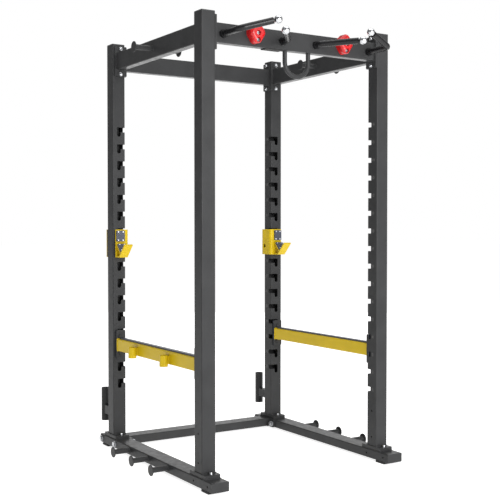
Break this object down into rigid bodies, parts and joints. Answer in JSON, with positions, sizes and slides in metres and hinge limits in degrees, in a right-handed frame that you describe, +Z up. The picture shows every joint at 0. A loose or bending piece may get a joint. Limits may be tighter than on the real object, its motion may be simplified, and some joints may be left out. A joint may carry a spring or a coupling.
{
  "type": "power cage",
  "caption": "Power cage: slotted posts on base beams, a ring of top beams, bent pull-up grips, climbing holds, band pegs, and bar hooks and safety bars that lift out of their slots.",
  "frame": {"origin": "centre of the footprint on the floor, under the middle of the cage's overall box", "axes": "+X to the user's right, +Y from the grips at the front to the bar holders at the back, +Z up along the posts"},
  "size_m": [1.433, 1.5519, 2.407],
  "materials": {
    "frame_coat": "charcoal powder coat with a fine orange-peel texture",
    "yellow_coat": "bright yellow powder coat, semi-gloss",
    "grip_coat": "near-black powder coat",
    "hold_resin": "red cast resin, lightly textured",
    "polished_chrome": "polished chrome plate",
    "plain_steel": "zinc-plated steel",
    "pad_screws": "bright zinc-plated steel",
    "black_plastic": "black moulded plastic",
    "liner_plastic": "dark blue-black wear plastic",
    "pad_rubber": "black rubber"
  },
  "bodies": {
    "frame": {"post_front_left": "frame_coat", "post_front_right": "frame_coat", "post_rear_left": "frame_coat", "post_rear_right": "frame_coat", "post_feet": "frame_coat", "beam_seats": "frame_coat", "rear_base_beam": "frame_coat", "base_end_plates": "frame_coat", "top_beam_front": "frame_coat", "top_beam_rear": "frame_coat", "hanging_loop": "frame_coat", "post_caps": "black_plastic", "floor_pads": "pad_rubber", "beam_strip": "pad_rubber", "top_bolts": "polished_chrome", "foot_bolts": "polished_chrome", "grip_balls": "polished_chrome", "top_weld_nuts": "plain_steel", "foot_weld_nuts": "plain_steel", "cross_bolts": "plain_steel", "cross_washers": "plain_steel", "cross_nuts": "plain_steel", "hold_bolts": "pad_screws", "base_beam_left": "frame_coat", "top_beam_left": "frame_coat", "band_pegs_left": "frame_coat", "top_pegs_left": "frame_coat", "bar_holder_left": "frame_coat", "grip_outer_left": "grip_coat", "grip_inner_left": "grip_coat", "climbing_hold_left": "hold_resin", "base_beam_right": "frame_coat", "top_beam_right": "frame_coat", "band_pegs_right": "frame_coat", "top_pegs_right": "frame_coat", "bar_holder_right": "frame_coat", "grip_outer_right": "grip_coat", "grip_inner_right": "grip_coat", "climbing_hold_right": "hold_resin"},
    "hook_left": {"hook_body_left": "yellow_coat", "hook_upper_pad_left": "liner_plastic", "hook_cradle_pad_left": "liner_plastic", "hook_liner_left": "liner_plastic", "hook_screws_left": "pad_screws"},
    "safety_left": {"safety_bar_left": "yellow_coat", "bar_sleeves_left": "yellow_coat", "safety_strip_left": "liner_plastic", "safety_end_liners_left": "liner_plastic", "safety_ends_left": "frame_coat"},
    "hook_right": {"hook_body_right": "yellow_coat", "hook_upper_pad_right": "liner_plastic", "hook_cradle_pad_right": "liner_plastic", "hook_liner_right": "liner_plastic", "hook_screws_right": "pad_screws"},
    "safety_right": {"safety_bar_right": "yellow_coat", "bar_sleeves_right": "yellow_coat", "safety_strip_right": "liner_plastic", "safety_end_liners_right": "liner_plastic", "safety_ends_right": "frame_coat"}
  },
  "joints": [
    {"name": "hook_left_lift", "type": "slide", "parent": "frame", "child": "hook_left", "axis": [0, 0, 1], "range_m": [0, 0.029]},
    {"name": "hook_right_lift", "type": "slide", "parent": "frame", "child": "hook_right", "axis": [0, 0, 1], "range_m": [0, 0.029]},
    {"name": "safety_left_lift", "type": "slide", "parent": "frame", "child": "safety_left", "axis": [0, 0, 1], "range_m": [0, 0.029]},
    {"name": "safety_right_lift", "type": "slide", "parent": "frame", "child": "safety_right", "axis": [0, 0, 1], "range_m": [0, 0.029]}
  ]
}
